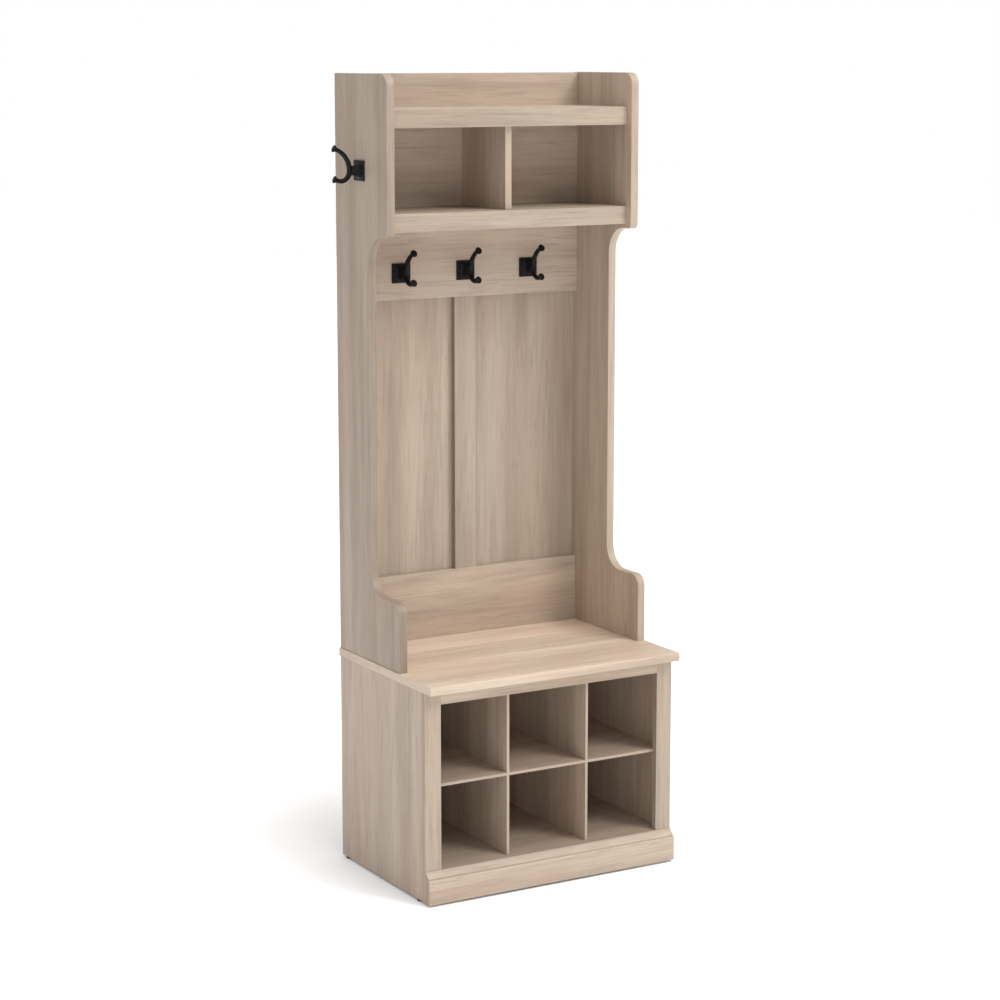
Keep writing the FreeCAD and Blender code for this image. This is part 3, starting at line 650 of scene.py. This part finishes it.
def hookMesh():
    # plate, boss and rods melted into one casting and softened
    whole = bmesh.new()
    for part in (hookPlate(), hookBoss(), hookArm(hook["upperArc"]), hookArm(hook["lowerArc"])):
        mesh = asMesh("hookPart", part)
        stamp(whole, mesh, Matrix())
        bpy.data.meshes.remove(mesh)
    blank = asObject("hookBlank", whole)
    skin = blank.modifiers.new("cast", "REMESH")
    skin.mode = "VOXEL"
    skin.voxel_size = hook["voxel"]
    shape = settled(blank)
    for _ in range(hook["softening"]):
        bmesh.ops.smooth_vert(shape, verts=shape.verts, factor=0.5, use_axis_x=True,
                              use_axis_y=True, use_axis_z=True)
    mesh = asMesh("castHook", shape)
    print("hook casting:", len(mesh.polygons), "faces")
    return mesh


def placeHooks():
    coat = smallFinish("powderCoat")
    casting = hookMesh()
    screws = solidBoxes("hook_screws")
    for node in ("left_hook", "middle_hook", "right_hook", "side_hook"):
        low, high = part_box(node)
        own = [(first + last) / 2 for first, last in screws
               if all(first[i] < high[i] and last[i] > low[i] for i in range(3))]
        middle = sum(own, Vector()) / len(own)
        if node == "side_hook":
            matrix = Matrix.Translation((high[0], middle.y, middle.z)) \
                @ Matrix.Rotation(-math.pi / 2, 4, "Z")
        else:
            matrix = Matrix.Translation((middle.x, high[1], middle.z))
        shape = bmesh.new()
        stamp(shape, casting, matrix)
        standIn(asObject(node + "Casting", shape, coat, True), node)
    print("hooks placed")


# ---- screws, cams and glides, each shaped once and set where its own solids are
fasteners = {
    # out is the way the head faces, sink or dome the head's height, head and shank its radii,
    # and cross the driver recess's length, width and depth
    "hook_screws": {"finish": "blackOxide", "slot": "hook_screw_steel", "out": "-Y",
                    "sink": 0.0019, "head": 0.0036, "shank": 0.0019,
                    "cross": (0.0042, 0.0008, 0.0013)},
    "seat_screws": {"finish": "brightZinc", "slot": "bolt_steel", "out": "-Z",
                    "sink": 0.002, "head": 0.004, "shank": 0.002,
                    "cross": (0.0046, 0.0009, 0.0015)},
    "back_sheet_screws": {"finish": "brightZinc", "slot": "bolt_steel", "out": "+Y",
                          "dome": 0.001, "head": 0.0032, "shank": 0.0014,
                          "cross": (0.0036, 0.0007, 0.0007)},
}
headSegments = 24
recessTaper = 0.55
facings = {"-Y": Vector((0, -1, 0)), "+Y": Vector((0, 1, 0)), "-Z": Vector((0, 0, -1)),
           "-X": Vector((-1, 0, 0))}


def crossCutter(length, width, depth):
    cutter = bmesh.new()
    for turn in (0, math.pi / 2):
        verts = block(cutter, (length, width, depth * 2), (0, 0, 0))
        tip = [vert for vert in verts if vert.co.z < 0]
        bmesh.ops.scale(cutter, vec=(recessTaper, 1, 1), verts=tip)
        bmesh.ops.rotate(cutter, verts=verts, matrix=Matrix.Rotation(turn, 3, "Z"))
    return cutter


def screwMesh(want, long):
    # a domed head sits on the sheet, a countersunk one spreads up to a thin flat rim
    head, shank = want["head"], want["shank"]
    point = min(shank * 2.5, long / 3)
    if "dome" in want:
        dome = want["dome"]
        top = [(-dome, shank), (-dome, head), (-dome * 0.45, head * 0.97),
               (-dome * 0.12, head * 0.78), (0, head * 0.45)]
    else:
        top = [(-want["sink"], shank), (-0.0003, head * 0.97), (-0.00005, head * 0.95),
               (0, head * 0.85)]
    shape = turned([(-long, shank * 0.1), (-long + point, shank)] + top, headSegments)
    return asMesh("screw", carve(shape, crossCutter(*want["cross"])))


def outward(low, high, usual):
    # a solid that is longest along another axis faces left instead
    size = high - low
    longest = max(range(3), key=lambda i: size[i])
    return facings["-X"] if usual == "-Y" and longest == 0 else facings[usual]


def setFasteners(node, mesh, want):
    whole = bmesh.new()
    for low, high in solidBoxes(node):
        way = outward(low, high, want["out"])
        size = high - low
        face = (low + high) / 2 + Vector([way[i] * size[i] / 2 for i in range(3)])
        turn = Vector((0, 0, 1)).rotation_difference(way).to_matrix().to_4x4()
        stamp(whole, mesh, Matrix.Translation(face) @ turn)
    bpy.data.meshes.remove(mesh)
    piece = asObject(node + "Made", whole, smallFinish(want["finish"]))
    standIn(piece, node)


cam = {"finish": "castZinc", "slot": "zinc", "out": "-Z", "radius": 0.0075, "rim": 0.0005,
       "dish": 0.0004, "cross": (0.0085, 0.0016, 0.0030)}
glide = {"finish": "nylon", "slot": "glide_plastic", "out": "-Z", "padHigh": 0.005,
         "padRadius": 0.0075, "round": 0.0012, "roundSteps": 4, "shank": 0.001}


def camMesh(long):
    radius, rim, dish = cam["radius"], cam["rim"], cam["dish"]
    shape = turned([(-long, radius - rim), (-long + rim, radius), (-rim, radius), (0, radius - rim),
                    (0, radius - rim * 3), (-dish, radius - rim * 4)], headSegments * 2)
    return asMesh("cam", carve(shape, crossCutter(*cam["cross"])))


def glideMesh(long):
    pad, radius, soft, shank = (glide[key] for key in ("padHigh", "padRadius", "round", "shank"))
    profile = [(-long, shank * 0.2), (-long + shank * 4, shank), (-pad, shank),
               (-pad, radius - soft / 2), (-pad + soft / 2, radius), (-soft, radius)]
    for step in range(1, glide["roundSteps"] + 1):
        angle = step / glide["roundSteps"] * math.pi / 2
        profile.append((-soft + soft * math.sin(angle), radius - soft + soft * math.cos(angle)))
    return asMesh("glide", turned(profile, headSegments * 2))


def longOf(node, out):
    # one fastener's length, along the way its head faces
    low, high = solidBoxes(node)[-1]
    return (high - low)[axes.index(out[1])]


def placeFasteners():
    for node, want in fasteners.items():
        setFasteners(node, screwMesh(want, longOf(node, want["out"])), want)
    setFasteners("cam_locks", camMesh(longOf("cam_locks", cam["out"])), cam)
    setFasteners("glides", glideMesh(longOf("glides", glide["out"])), glide)
    dress("cam_bolts", smallFinish("brightZinc"))
    dress("dowels", smallFinish("beech"))
    print("fasteners placed")


finishBoards()
placeHooks()
placeFasteners()
buildStudio()
placeCamera()
print("studio ready")
